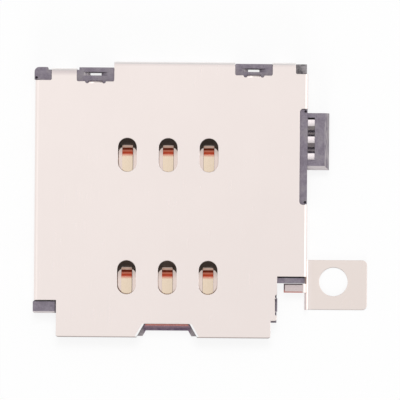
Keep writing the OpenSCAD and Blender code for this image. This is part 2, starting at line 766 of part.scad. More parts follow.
// The lug behind a rear window, whose rear face is at y = 0: a pocket slopes down to a slit right through
module lug_slit() {
    half = lug_pocket_w / 2;
    translate([0, lug_pocket_b / 2 - slit_in, rail_top]) rotate([90, 0, 0])
        linear_extrude(lug_pocket_b) polygon([
            [-slit_w / 2, -lug_pocket_d], [slit_w / 2, -lug_pocket_d],
            [half, 0], [half, lap], [-half, lap], [-half, 0]
        ]);
    translate([-slit_w / 2, -slit_in - slit_b / 2, -lap]) cube([slit_w, slit_b, overall_h + 2 * lap]);
}

// The small holes that core pins leave in the tops of the bar's ends and the left rear lug
module core_pin_holes() {
    places = [
        [bar_out - pin_in, gap_front + lug_gap + pin_in],
        [bar_out - pin_in, gap_rear - lug_gap - pin_in],
        [lug_left + pin_in, corner_y + pin_in]
    ];
    for (p = places) translate([p[0], p[1], rail_top - pin_depth]) cylinder(d = pin_d, h = pin_depth + lap);
}

// The round marks of the mould's ejector pins under both rails and the rear stop
module ejector_marks() {
    left_mid_x = channel_left - left_rail_w / 2;
    right_mid_x = channel_right + right_rail_w / 2;
    places = [
        [left_mid_x, slot_y(contacts)],
        [left_mid_x, slot_y(1)],
        [right_mid_x, slot_y(contacts) / 2],
        [0, channel_rear + rear_stop_d / 2]
    ];
    for (p = places) translate([p[0], p[1], -lap]) cylinder(d = ejector_d, h = ejector_depth + lap);
}

// A catch on a rail's side, which the window in the wall drops over
module catch() {
    proud = sheet_t;
    low = fit - catch_h / 2;
    len = catch_w - 2 * fit;
    translate([0, len / 2, 0]) rotate([90, 0, 0]) linear_extrude(len) polygon([
        [-fold_r, low], [proud, low], [proud, 0], [0, -low], [-fold_r, -low]
    ]);
}

module housing() {
    low_h = overall_h - fold_out;
    color(moulding) difference() {
        union() {
            linear_extrude(floor_t) floor_outline();
            linear_extrude(low_h) union() {
                rail_outline(0);
                lug_outline();
            }
            translate([0, 0, low_h]) linear_extrude(rail_top - low_h) union() {
                rail_outline(fold_r);
                lug_outline();
            }
            switch_block();
            side_post();
            for (c = catches) translate([side_x(c[0]) - c[0] * wall_in, c[1], catch_z])
                mirror([c[0] > 0 ? 0 : 1, 0, 0]) catch();
        }
        for (n = [1 : contacts]) contact_well(n);
        for (n = [1 : contacts]) tail_solid(n);
        for (w = windows) {
            translate([w[0], w[1] - window_d, 0]) lock_slot();
            translate([w[0], w[2], 0]) lug_slit();
        }
        translate([channel_right - lap, pocket_front, floor_t])
            cube([lap + leaf_setback + leaf_room, pocket_rear - pocket_front, overall_h]);
        terminal_openings();
        core_pin_holes();
        ejector_marks();
        common_solid();
        closed_solid();
        open_solid();
        left_end_cut();
        end_grooves();
    }
}

// Grooves in the tops of the rails' front ends, beside the shell's edges
module end_grooves() {
    z = rail_top - groove_d;
    under = groove_b + fit;
    translate([lug_left - lap, y_left_end - groove_b, z])
        cube([tongue_left - lug_left + lap, under, overall_h]);
    translate([tongue_left - groove_b, y_left_rail - lap, z]) cube([under, left_end_len + lap, overall_h]);
    translate([tongue_right, y_right_end - groove_b, z]) cube([x_right - tongue_right, under, overall_h]);
}

// The post on the floor's right edge, which stands under the notch in the tongue's side
module side_post() {
    translate([channel_right, y_side_lock - lock_w / 2, 0]) cube([post_t, lock_w, overall_h - post_drop]);
}

// The bevel along the top front edge of the left rail
module left_end_cut() {
    b = left_end_bevel;
    translate([x_left - lap, y_left_rail, rail_top]) rotate([90, 0, 90])
        linear_extrude(channel_left - x_left + lap)
            polygon([[-b, -2 * b], [-b, b], [2 * b, b], [b, 0], [0, -b]]);
}

// The well in the floor under an arm, which widens behind the frame, with a core-pin hole
module contact_well(n) {
    front = root_y(n) - tail_start;
    wide_y = frame_round_y(n);
    translate([slot_x(n) - frame_hole_w / 2, front, tip_pocket_z])
        cube([frame_hole_w, wide_y - front, floor_t]);
    translate([slot_x(n) - well_w / 2, wide_y, tip_pocket_z])
        cube([well_w, well_w / 2 + tip_pocket_len, floor_t]);
    translate([slot_x(n), root_y(n) + knee_run, -lap]) cylinder(d = well_hole_d, h = floor_t + lap);
}

// The sprung arm of contact n, on its flexing line
module contact_arm(n) {
    color(gold) translate([slot_x(n) - contact_w / 2, root_y(n), root_z]) rotate([90, 0, 90])
        linear_extrude(contact_w) union() {
            strip(arm_path, contact_t, arm_slope);
            circle(knuckle_r);
        }
}

// The frame of contact n: the flat strip that the arm is cut from, round at the rear and open there
module contact_frame(n) {
    rear = root_y(n) - tail_start;
    front = rear - tail_flat;
    round_y = frame_round_y(n);
    translate([slot_x(n), 0, floor_t - contact_t]) linear_extrude(contact_t) difference() {
        union() {
            translate([-well_w / 2, front]) square([well_w, round_y - front]);
            translate([0, round_y]) circle(well_w / 2);
        }
        translate([-frame_hole_w / 2, rear]) square([frame_hole_w, round_y + well_w - rear]);
    }
}

// The tail of contact n: the frame in the floor, a step down and a solder foot on the board
module tail_solid(n) {
    path = [
        [tail_flat, -tail_slope, contact_t],
        [tail_ramp, tail_slope, contact_t],
        [tail_foot, 0, 0]
    ];
    contact_frame(n);
    translate([slot_x(n) + contact_w / 2, root_y(n) - tail_start, root_z]) rotate([90, 0, -90])
        linear_extrude(contact_w) strip(path, contact_t);
}
module contact_tail(n) {
    color(gold) union() {
        tail_solid(n);
    }
}

// The end that all three terminals share, from the strip's top at x: over, down and out to the solder foot
function terminal_end(x) = [
    [peep_end - x, -square_bend, terminal_r],
    [terminal_z - terminal_t - 2 * terminal_r, square_bend, terminal_r],
    [terminal_foot, 0, 0]
];
terminal_mid = terminal_z - half_t;

// A terminal that hangs down from its top at x to the leaf's lower edge
module hung_solid(n, x) {
    path = concat(
        [[terminal_mid - terminal_r - leaf_z, -square_bend, terminal_r]],
        terminal_end(x + terminal_r)
    );
    translate([x, terminal_y(n) + terminal_w / 2, leaf_z]) rotate([90, 0, 0])
        linear_extrude(terminal_w) strip(path, terminal_t, square_bend);
}
module common_solid() {
    hung_solid(1, leaf_x);
}
module open_solid() {
    hung_solid(3, open_x);
}

// The terminal that runs under the leaf and stands up on its inner side
module closed_solid() {
    under = floor_t + half_t;
    path = concat(
        [[terminal_mid - under - terminal_r, square_bend, terminal_r]],
        [[bar_x - closed_x - 2 * terminal_r, square_bend, terminal_r]],
        [[terminal_mid - under - 2 * terminal_r, -square_bend, terminal_r]],
        terminal_end(bar_x + terminal_r)
    );
    translate([closed_x, terminal_y(2) + terminal_w / 2, terminal_mid]) rotate([90, 0, 0])
        linear_extrude(terminal_w) strip(path, terminal_t, -square_bend);
}

module detect_common() {
    color(tin) common_solid();
}
module detect_closed() {
    color(tin) closed_solid();
}
module detect_open() {
    color(tin) open_solid();
}

// The leaf: runs forward from its flexing line, with its nose in the tray's path
module detect_leaf() {
    color(gold) translate([leaf_x, leaf_y, leaf_z]) linear_extrude(leaf_h) rotate(-90)
        mirror([0, 1]) union() {
            strip(leaf_path, terminal_t, leaf_slope);
            circle(knuckle_r);
        }
}

shell();
housing();
for (n = [1 : contacts]) contact_arm(n);
for (n = [1 : contacts]) contact_tail(n);
detect_common();
detect_closed();
detect_open();
detect_leaf();
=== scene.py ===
# %% [markdown]
# # A card socket for a small tray
#
# The object is a socket about 21 mm wide: a folded sheet shell over a moulded base, with six sprung
# contacts under six slots, a small switch at its right side and one screw ear. The imported model gives
# every shape its place. This lesson dresses it: softened edges, one-piece springs, and finishes with some
# light and shade painted into their colours.

# %% Load the imported part
import math

import bpy
from mathutils import Matrix, Vector


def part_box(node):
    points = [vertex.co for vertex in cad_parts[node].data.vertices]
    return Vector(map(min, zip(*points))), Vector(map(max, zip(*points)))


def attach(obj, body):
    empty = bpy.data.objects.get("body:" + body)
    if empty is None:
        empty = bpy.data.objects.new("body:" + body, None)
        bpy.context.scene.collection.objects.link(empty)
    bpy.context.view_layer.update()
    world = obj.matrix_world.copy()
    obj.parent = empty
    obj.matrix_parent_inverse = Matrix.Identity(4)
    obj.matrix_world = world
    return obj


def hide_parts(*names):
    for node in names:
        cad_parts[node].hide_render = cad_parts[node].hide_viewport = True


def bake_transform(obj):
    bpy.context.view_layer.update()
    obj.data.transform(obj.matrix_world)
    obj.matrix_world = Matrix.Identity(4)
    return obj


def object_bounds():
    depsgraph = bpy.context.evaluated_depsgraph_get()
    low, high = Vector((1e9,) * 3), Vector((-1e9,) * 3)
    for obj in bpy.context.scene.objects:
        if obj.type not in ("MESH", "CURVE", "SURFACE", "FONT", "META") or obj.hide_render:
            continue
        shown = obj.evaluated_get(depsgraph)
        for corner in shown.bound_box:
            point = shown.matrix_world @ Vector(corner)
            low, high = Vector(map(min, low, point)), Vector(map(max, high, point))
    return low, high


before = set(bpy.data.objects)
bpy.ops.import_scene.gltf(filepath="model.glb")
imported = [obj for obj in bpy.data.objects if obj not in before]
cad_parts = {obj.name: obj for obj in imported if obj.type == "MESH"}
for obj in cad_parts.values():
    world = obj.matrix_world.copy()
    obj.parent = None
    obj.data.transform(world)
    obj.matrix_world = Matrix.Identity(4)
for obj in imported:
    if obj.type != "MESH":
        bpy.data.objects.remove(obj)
cad_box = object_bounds()
scene = bpy.context.scene
MM = 0.001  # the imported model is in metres
print("nodes:", len(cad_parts), "box in mm:", [round(x / MM, 2) for x in cad_box[1] - cad_box[0]])

# %% [markdown]
# ## Camera
#
# The socket is photographed from straight above with a long lens, so its walls hardly show. A camera
# could be orthographic, but a long lens keeps a trace of perspective and also works from other sides.
# It hangs over the middle of the picture, at the height where the shell's top fills the frame as it should.

# %% Camera
FRAME_W = 24.89 * MM  # what the picture is wide, at the top of the shell
LENS = 300.0  # mm
ROLL = math.radians(0.454)  # the object lies turned a little in the picture
aim = Vector((2.003 * MM, 1.033 * MM, cad_box[1].z))  # middle of the picture

bpy.ops.object.select_all(action="DESELECT")
bpy.ops.object.camera_add(rotation=(0, 0, ROLL))
camera = bpy.context.object
camera.name = "camera"
camera.data.lens = LENS
camera.location = aim + Vector((0, 0, FRAME_W * LENS / camera.data.sensor_width))
camera.data.clip_start = 10 * MM
camera.data.clip_end = 10
scene.camera = camera
print("camera height in mm:", round(camera.location.z / MM, 1))

# %% [markdown]
# ## Helpers for materials
#
# Colours are easiest to read as the hex values that a paint program shows, but Blender's sockets hold
# linear light. One function turns the first into the second, another adds any node to a material, and a
# third starts a material and gives the place of each point, which every finish here needs.

# %% Helpers for materials
def colour(code):
    """An sRGB hex colour as the linear RGBA of a colour socket."""
    parts = [int(code[i:i + 2], 16) / 255 for i in (1, 3, 5)]
    return [c / 12.92 if c <= 0.04045 else ((c + 0.055) / 1.055) ** 2.4 for c in parts] + [1]


def put(tree, kind, inputs=None, **settings):
    """Adds a node. inputs gives each socket, by name or number, a value or another node's output."""
    node = tree.nodes.new("ShaderNode" + kind)
    for name, value in settings.items():
        setattr(node, name, value)
    for socket, value in (inputs or {}).items():
        if isinstance(value, bpy.types.NodeSocket):
            tree.links.new(value, node.inputs[socket])
        else:
            node.inputs[socket].default_value = value
    return node


def start_material(name):
    """A new material: its node tree, its shader and the place of each point in the object."""
    material = bpy.data.materials.new(name)
    material.use_nodes = True
    tree = material.node_tree
    place = put(tree, "TexCoord").outputs["Object"]
    return material, tree, tree.nodes["Principled BSDF"], place


print("white is", colour("#ffffff"))

# %% [markdown]
# ## Light and floor
#
# A product like this is shot in a white tent, with soft light from all round. The tent could be modelled,
# but a white world gives the same light. Metal mirrors the tent: white overhead and dimmer towards the near
# right, with a bright right side, dim far and near sides and a darker foot. In a map range node, sockets 0 to
# 4 are the value, the two ends that it comes from and the two that it goes to.

# %% Tent
TENT_LIGHT = 0.48  # share of the light on a level surface that comes from the tent

world = bpy.data.worlds.new("tent")
scene.world = world
world.use_nodes = True
tent = world.node_tree
tent.nodes.clear()
ray = put(tent, "LightPath").outputs
way = put(tent, "SeparateXYZ", {0: put(tent, "TexCoord").outputs["Generated"]}).outputs
across = put(tent, "Math", {0: way[0], 1: way[1]}, operation="SUBTRACT").outputs[0]
PARTS = [  # way, from, to, and how bright a mirror sees the tent at those two
    (across, -0.35, 0.35, 1.26, 0.74),  # from the far left to the near right
    (way[2], 0.05, 0.4, 0.85, 1.0),  # the foot
    (way[0], 0.3, 0.6, 1.0, 2.2),  # the right side
    (way[0], -0.8, -0.25, 0.85, 1.0),  # the left side
    (way[1], 0.25, 0.8, 1.0, 0.55),  # the far side
    (way[1], -0.7, -0.2, 0.3, 1.0),  # the near side
]
mirrored = 1.0
for value, low, high, first, last in PARTS:
    part = put(tent, "MapRange", {0: value, 1: low, 2: high, 3: first, 4: last})
    mirrored = put(tent, "Math", {0: mirrored, 1: part.outputs[0]}, operation="MULTIPLY").outputs[0]
seen = put(tent, "Math", {0: ray["Is Camera Ray"], 1: ray["Is Transmission Ray"]}, operation="MAXIMUM")
plain = put(tent, "MapRange", {"Value": seen.outputs[0], "To Min": TENT_LIGHT, "To Max": 1.0})
strength = put(tent, "Mix", {0: ray["Is Glossy Ray"], 2: plain.outputs[0], 3: mirrored})
cloth = put(tent, "Background", {"Color": colour("#ffffff"), "Strength": strength.outputs[0]})
put(tent, "OutputWorld", {"Surface": cloth.outputs[0]})
print("parts of the tent:", len(PARTS))

# %% [markdown]
# Two lamps give the light a direction: a large one at the far side, above the picture's top edge, and a low
# one at the near side that brightens bevels which face it. Spots would cast hard shadows, so both are round
# area lamps. Metal doesn't mirror them, because in a tent they stand behind the cloth.

# %% Lamps
FAR_LIGHT = 0.4  # share of the light on a level surface that comes from the far lamp
NEAR_LIGHT = 0.12  # and from the near lamp
LAMP_AWAY = 300 * MM


def add_lamp(name, share, size, lean):
    """A round lamp that leans in degrees from above to the far side, and gives its share of the light."""
    lean = math.radians(lean)
    bpy.ops.object.select_all(action="DESELECT")
    bpy.ops.object.light_add(type="AREA", rotation=(-lean, 0, 0))
    lamp = bpy.context.object
    lamp.name = name
    lamp.location = aim + LAMP_AWAY * Vector((0, math.sin(lean), math.cos(lean)))
    lamp.data.shape = "DISK"
    lamp.data.size = size
    lamp.data.energy = share * math.pi ** 2 * LAMP_AWAY ** 2 / math.cos(lean)
    lamp.visible_glossy = False
    print(name, "in watts:", round(lamp.data.energy, 3))


add_lamp("far_lamp", FAR_LIGHT, size=130 * MM, lean=22)
add_lamp("near_lamp", NEAR_LIGHT, size=140 * MM, lean=-75)
scene.view_settings.view_transform = "Standard"

# %% [markdown]
# The socket lies on white card. A small sheet would do for the view from above, but a wide one also fills the
# views from the sides. The camera and the metal see most of it as pure white. The rest is its real shading,
# which keeps the shadow.

# %% Floor
FLOOR_R = 1.5
FLOOR_WHITE = 0.85  # how far the camera and mirrors see the card as pure white, and not its shading
CARD_FIBRE = 6 * MM

bpy.ops.object.select_all(action="DESELECT")
bpy.ops.mesh.primitive_circle_add(vertices=96, radius=FLOOR_R, fill_type="NGON")
floor = bpy.context.object
floor.name = "floor"

paper, tree, shader, place = start_material("white_card")
fibre = put(tree, "TexNoise", {"Vector": place, "Scale": 1 / CARD_FIBRE, "Detail": 2}).outputs[0]
shade = put(tree, "Mix", {"Factor": fibre, 6: colour("#fdfdfd"), 7: colour("#fbfbfb")}, data_type="RGBA")
tree.links.new(shade.outputs[2], shader.inputs["Base Color"])
shader.inputs["Roughness"].default_value = 0.9
shader.inputs["Specular IOR Level"].default_value = 0.1
ray = put(tree, "LightPath").outputs
seen = put(tree, "Math", {0: ray["Is Camera Ray"], 1: ray["Is Glossy Ray"]}, operation="MAXIMUM")
share = put(tree, "Math", {0: seen.outputs[0], 1: FLOOR_WHITE}, operation="MULTIPLY")
white = put(tree, "Emission", {"Color": colour("#ffffff"), "Strength": 1.0})
both = put(tree, "MixShader", {0: share.outputs[0], 1: shader.outputs[0], 2: white.outputs[0]})
tree.links.new(both.outputs[0], tree.nodes["Material Output"].inputs["Surface"])
floor.data.materials.append(paper)
print("floor radius in m:", FLOOR_R)

# %% [markdown]
# ## Finish of the shell
#
# The shell is bright-rolled steel strip with a thin nickel plate. Rolling leaves streaks along the strip,
# far finer than a picture this size can show, so they are drawn coarser here. The plate is a little
# uneven, which shows as faint patches. Both could be painted, but noise stretched along the strip does it.
# The punch rounds every edge over. A bevel of the mesh would have to stay as narrow as its smallest facet,
# so a bevel node turns the normals near an edge instead.

# %% Nickel-plated steel
STREAK_W = 0.09 * MM  # really about 0.01 mm, drawn coarser so that it shows
STREAK_LEN = 2.5 * MM
STREAK_DEPTH = 0.004 * MM
PATCH = 3.5 * MM
PUNCH_R = 0.05 * MM

nickel, tree, shader, place = start_material("nickel_plated_rolled_steel")
stretched = put(tree, "Mapping", {"Vector": place, "Scale": (1 / STREAK_W, 1 / STREAK_LEN, 1 / STREAK_W)})
streak = put(tree, "TexNoise", {"Vector": stretched.outputs[0], "Scale": 1.0, "Detail": 3}).outputs[0]
rough = put(tree, "MapRange", {"Value": streak, "To Min": 0.24, "To Max": 0.36})
tree.links.new(rough.outputs[0], shader.inputs["Roughness"])
over = put(tree, "Bevel", {"Radius": PUNCH_R}, samples=6).outputs[0]
relief = put(tree, "Bump", {"Height": streak, "Strength": 0.05, "Distance": STREAK_DEPTH, "Normal": over})
tree.links.new(relief.outputs[0], shader.inputs["Normal"])
shader.inputs["Metallic"].default_value = 1.0
patch = put(tree, "TexNoise", {"Vector": place, "Scale": 1 / PATCH, "Detail": 3}).outputs[0]
tone = put(tree, "Mix", {"Factor": patch, 6: colour("#f5eae6"), 7: colour("#f1e6e2")}, data_type="RGBA")
print("made", nickel.name)

# %% [markdown]
# Three places of the plate differ: the ear is made a little darker by painted shade, the coined slanted edges of
# the finger notch carry a painted white highlight, and the front edge a painted dark shade. They could be
# finishes of their own, but no face ends where they do, so the place of a point tells them apart.

# %% Marks on the plate
EAR_X = (8.85 * MM, 9.1 * MM)  # where a mark begins, and where it is full
FRONT_Y = (-7.47 * MM, -7.52 * MM)
NOTCH_Y = (-6.66 * MM, -6.74 * MM)
NOTCH = Vector((1.41, -6.7, 0)) * MM  # inner corner of the notch
SQUARE = Vector((0.871, 0.492, 0))  # the way square to its slanted edge
COIN_W = 0.13 * MM

at = put(tree, "SeparateXYZ", {0: place}).outputs
ear = put(tree, "MapRange", {0: at[0], 1: EAR_X[0], 2: EAR_X[1]})
front = put(tree, "MapRange", {0: at[1], 1: FRONT_Y[0], 2: FRONT_Y[1]})
inner = put(tree, "MapRange", {0: at[1], 1: NOTCH_Y[0], 2: NOTCH_Y[1]})
aside = put(tree, "Math", {0: at[0]}, operation="ABSOLUTE")  # both sides of the notch are alike
right = put(tree, "CombineXYZ", {0: aside.outputs[0], 1: at[1]})
away = put(tree, "VectorMath", {0: right.outputs[0], 1: SQUARE}, operation="DOT_PRODUCT").outputs["Value"]
edge = NOTCH.dot(SQUARE)
slanted = put(tree, "MapRange", {0: away, 1: edge + COIN_W, 2: edge + 0.8 * COIN_W})
coin_highlight = put(tree, "Math", {0: slanted.outputs[0], 1: inner.outputs[0]}, operation="MULTIPLY")
# painted shade on the ear, a painted white highlight on the coined edges, painted shade on the front edge
marks = [(ear, "#efe3dd"), (coin_highlight, "#ffffff"), (front, "#b9aca8")]
print("marks on the plate:", len(marks))

# %% [markdown]
# The bending tool drew the sheet a little where it turns down at the rear. Painted shade dims it in front of
# that fold, and a painted highlight makes its crest paler. The fold has two stretches, of which the left one
# lies further forward. It could be modelled as a shallow hollow, but its depth isn't known, so only its light
# and shade are painted, again by place.

# %% Rear fold
LEFT_END = -4.0 * MM  # between the two stretches
# the crest gets a painted highlight, and the stretch in front of it painted shade
CREST_HIGHLIGHT = 0.55  # how pale the crest is
FOLDS = [  # side of LEFT_END in mm, how dim, and Y in mm where it begins to dim, is dimmest and turns down
    (-0.1, 1.0, (8.7, 9.0, 9.1)),
    (0.1, 0.5, (9.32, 9.45, 9.5)),
]
for side, depth, along in FOLDS:
    begin, dimmest, bend = (y * MM for y in along)
    here = put(tree, "MapRange", {0: at[0], 1: LEFT_END, 2: LEFT_END + side * MM})
    rise = put(tree, "MapRange", {0: at[1], 1: begin, 2: dimmest, 3: 0.0, 4: depth})
    fall = put(tree, "MapRange", {0: at[1], 1: dimmest, 2: bend, 3: 1.0, 4: 0.0})
    crest = put(tree, "MapRange", {0: at[1], 1: dimmest, 2: bend, 3: 0.0, 4: CREST_HIGHLIGHT})
    drawn = put(tree, "Math", {0: rise.outputs[0], 1: fall.outputs[0]}, operation="MULTIPLY")
    # painted shade in front of the fold, then a painted highlight on its crest
    for share, code in ((drawn, "#d3c7c7"), (crest, "#ffffff")):
        share = put(tree, "Math", {0: share.outputs[0], 1: here.outputs[0]}, operation="MULTIPLY")
        marks.append((share, code))
for share, code in marks:
    tone = put(tree, "Mix", {"Factor": share.outputs[0], 6: tone.outputs[2], 7: colour(code)}, data_type="RGBA")
tree.links.new(tone.outputs[2], shader.inputs["Base Color"])
print("marks in all:", len(marks))

# %% [markdown]
# The strip was plated before it was punched, so its cut edges are bare. They are rounded over by the
# punch at the top and torn below, and look browner and darker than the plate. The tear could be modelled,
# but on an edge this narrow one noise between two tones is enough.

# %% Cut edges of the sheet
bare_edge, tree, shader, place = start_material("bare_cut_edge")
torn = put(tree, "TexNoise", {"Vector": place, "Scale": 1 / STREAK_W, "Detail": 3}).outputs[0]
tone = put(tree, "Mix", {"Factor": torn, 6: colour("#b9a7a0"), 7: colour("#8d7a74")}, data_type="RGBA")
tree.links.new(tone.outputs[2], shader.inputs["Base Color"])
shader.inputs["Roughness"].default_value = 0.45
shader.inputs["Metallic"].default_value = 1.0
print("made", bare_edge.name)

# %% [markdown]
# Two small marks differ from the plate. The stop tab's top is a darker nickel, and its rim and the lip in the
# finger notch carry painted shade at the back and a painted red reflection towards the front. Whole faces carry
# them, so they are finishes of their own, and only the turn to red is told by place.

# %% Scuffed and tinted metal
RED_Y = (-4.5 * MM, -4.6 * MM)  # where the tint begins to turn red, and where it is red

darker_nickel, tree, shader, place = start_material("darker_nickel_plate")
speckle = put(tree, "TexNoise", {"Vector": place, "Scale": 1 / STREAK_W, "Detail": 3}).outputs[0]
tone = put(tree, "Mix", {"Factor": speckle, 6: colour("#dacccb"), 7: colour("#cdbfbe")}, data_type="RGBA")
tree.links.new(tone.outputs[2], shader.inputs["Base Color"])
shader.inputs["Roughness"].default_value = 0.4
shader.inputs["Metallic"].default_value = 0.6

rim_shade_reflection, tree, shader, place = start_material("rim_painted_shade_and_reflection")
speckle = put(tree, "TexNoise", {"Vector": place, "Scale": 1 / STREAK_W, "Detail": 3}).outputs[0]
at = put(tree, "SeparateXYZ", {0: place}).outputs
red = put(tree, "MapRange", {0: at[1], 1: RED_Y[0], 2: RED_Y[1]}).outputs[0]
# painted shade at the back of the rim
dark = put(tree, "Mix", {"Factor": speckle, 6: colour("#5c4d50"), 7: colour("#463a3d")}, data_type="RGBA")
# a painted red reflection towards the front
red_reflection = put(tree, "Mix", {"Factor": speckle, 6: colour("#c07a70"), 7: colour("#ac6a62")}, data_type="RGBA")
tone = put(tree, "Mix", {"Factor": red, 6: dark.outputs[2], 7: red_reflection.outputs[2]}, data_type="RGBA")
tree.links.new(tone.outputs[2], shader.inputs["Base Color"])
shader.inputs["Roughness"].default_value = 0.5
print("made", darker_nickel.name, rim_shade_reflection.name)

# %% [markdown]
# ## Finish of the base
#
# The base is moulded in a liquid crystal polymer filled with glass fibre: matt, slightly mauve grey, with
# short pale fibres near the surface, larger cloudy patches and some paler resin. A picture of such a surface
# could be laid on it, but three noises at the size of the real grain, fibres and clouds need none.

# %% Cloudy tone
FIBRE = 0.16 * MM
CLOUD = 0.5 * MM


def cloudy(tree, place, dark, light):
    """Fibres and clouds between two tones, with patches of paler resin."""
    fibre = put(tree, "TexNoise", {"Vector": place, "Scale": 1 / FIBRE, "Detail": 4, "Distortion": 1.5})
    cloud = put(tree, "TexNoise", {"Vector": place, "Scale": 1 / CLOUD, "Detail": 2}).outputs[0]
    mixed = put(tree, "Math", {0: fibre.outputs[0], 1: cloud}, operation="ADD")
    pale = put(tree, "MapRange", {0: mixed.outputs[0], 1: 0.8, 2: 1.3}).outputs[0]
    tone = put(tree, "Mix", {"Factor": pale, 6: colour(dark), 7: colour(light)}, data_type="RGBA").outputs[2]
    resin = put(tree, "MapRange", {0: cloud, 1: 0.5, 2: 0.7, 3: 0.0, 4: 0.35}).outputs[0]
    return put(tree, "Mix", {"Factor": resin, 6: tone, 7: colour("#8d8785")}, data_type="RGBA").outputs[2]


print("fibres and clouds in mm:", FIBRE / MM, CLOUD / MM)

# %% [markdown]
# Two places of the moulding differ where they look up. The right rear corner is rubbed to a mottled grey, and
# the band that shows in the finger notch is more mauve, with painted light that makes it paler under the shell's
# edge. Neither ends at an edge of the mesh, so both are told by their place: each is the product of two ranges.

# %% Corner and notch band
MOTTLE = 0.3 * MM
SOFT = 0.05 * MM  # how softly these marks begin
CORNER = (7.9 * MM, 8.7 * MM)  # the corner lies beyond this
FEET_X = 1.45 * MM  # the notch's feet lie beyond this on both sides, and its band between them
BAND_Y = -6.83 * MM  # where the band begins


def marked(tree, place, level, tone):
    """A tone with the rubbed corner and the notch's band laid over it, on faces that look up."""
    at = put(tree, "SeparateXYZ", {0: place}).outputs
    aside = put(tree, "Math", {0: at[0]}, operation="ABSOLUTE").outputs[0]
    noise = put(tree, "TexNoise", {"Vector": place, "Scale": 1 / MOTTLE, "Detail": 2}).outputs[0]
    spots = put(tree, "MapRange", {0: noise, 1: 0.35, 2: 0.62}).outputs[0]
    deep = put(tree, "MapRange", {0: at[1], 1: BAND_Y - SOFT / 2, 2: BAND_Y - 4 * SOFT}).outputs[0]
    grey = put(tree, "Mix", {"Factor": spots, 6: colour("#524e51"), 7: colour("#a09a9d")}, data_type="RGBA")
    mauve = put(tree, "Mix", {"Factor": spots, 6: colour("#74607a"), 7: colour("#988396")}, data_type="RGBA")
    # painted light: the band is paler just under the shell's edge, where its shadow falls
    under = put(tree, "Mix", {"Factor": deep, 6: colour("#c8a3b3"), 7: mauve.outputs[2]}, data_type="RGBA")
    marks = [  # tone, and two ranges from nothing to full
        (grey, (at[0], CORNER[0] - SOFT, CORNER[0] + SOFT), (at[1], CORNER[1] - SOFT, CORNER[1] + SOFT)),
        (under, (aside, FEET_X + SOFT, FEET_X - SOFT), (at[1], BAND_Y + SOFT / 2, BAND_Y - SOFT / 2)),
    ]
    for mark, *ranges in marks:
        share = level
        for value, nothing, full in ranges:
            here = put(tree, "MapRange", {0: value, 1: nothing, 2: full}).outputs[0]
            share = put(tree, "Math", {0: share, 1: here}, operation="MULTIPLY").outputs[0]
        tone = put(tree, "Mix", {"Factor": share, 6: tone, 7: mark.outputs[2]}, data_type="RGBA").outputs[2]
    return tone


print("the corner begins in mm at:", [round(x / MM, 2) for x in CORNER])

# %% [markdown]
# Bevels that face the near side and the right side get a painted highlight, the right ones broken into streaks
# along the edge, and so do the two feet of the notch. Which way a face looks tells the bevels apart, and the
# feet are told by their place.

# %% Painted highlight on bevels
GRAIN = 0.07 * MM
FEET_Y = (-6.95 * MM, -7.15 * MM)  # where the feet begin to be pale, and where they are palest


def bevel_highlight(tree, place, facing, level):
    """How strong the painted highlight is at each point."""
    at = put(tree, "SeparateXYZ", {0: place}).outputs
    aside = put(tree, "Math", {0: at[0]}, operation="ABSOLUTE").outputs[0]
    stretched = put(tree, "Mapping", {"Vector": place, "Scale": (1 / GRAIN, 0.1 / GRAIN, 1 / GRAIN)})
    noise = put(tree, "TexNoise", {"Vector": stretched.outputs[0], "Scale": 1.0, "Detail": 2}).outputs[0]
    highlight_streaks = put(tree, "MapRange", {0: noise, 1: 0.4, 2: 0.65}).outputs[0]
    near = put(tree, "MapRange", {0: facing[1], 1: -0.45, 2: -0.65, 3: 0.0, 4: 0.75}).outputs[0]
    right = put(tree, "MapRange", {0: facing[0], 1: 0.45, 2: 0.65, 3: 0.0, 4: 0.7}).outputs[0]
    right = put(tree, "Math", {0: right, 1: highlight_streaks}, operation="MULTIPLY").outputs[0]
    outside = put(tree, "MapRange", {0: aside, 1: FEET_X - SOFT, 2: FEET_X + SOFT}).outputs[0]
    feet = put(tree, "MapRange", {0: at[1], 1: FEET_Y[0], 2: FEET_Y[1], 3: 0.0, 4: 0.45}).outputs[0]
    feet = put(tree, "Math", {0: feet, 1: outside}, operation="MULTIPLY").outputs[0]
    most = put(tree, "Math", {0: near, 1: right}, operation="MAXIMUM").outputs[0]
    most = put(tree, "Math", {0: most, 1: feet}, operation="MAXIMUM").outputs[0]
    return put(tree, "Math", {0: most, 1: level}, operation="MULTIPLY").outputs[0]


print("the feet are palest in mm at:", round(FEET_Y[1] / MM, 2))

# %% [markdown]
# The mould's faces are spark eroded, which gives the polymer a fine grain in its relief and its gloss. The
# same finish comes in four pairs of tones: the plain polymer, painted shade in recesses, nearly black painted
# shade in grooves, and the wells, browner with a painted reflection of the gold arms. Four materials could be
# written out, but one function keeps them alike.

# %% Moulded polymer
GRAIN_DEPTH = 0.01 * MM


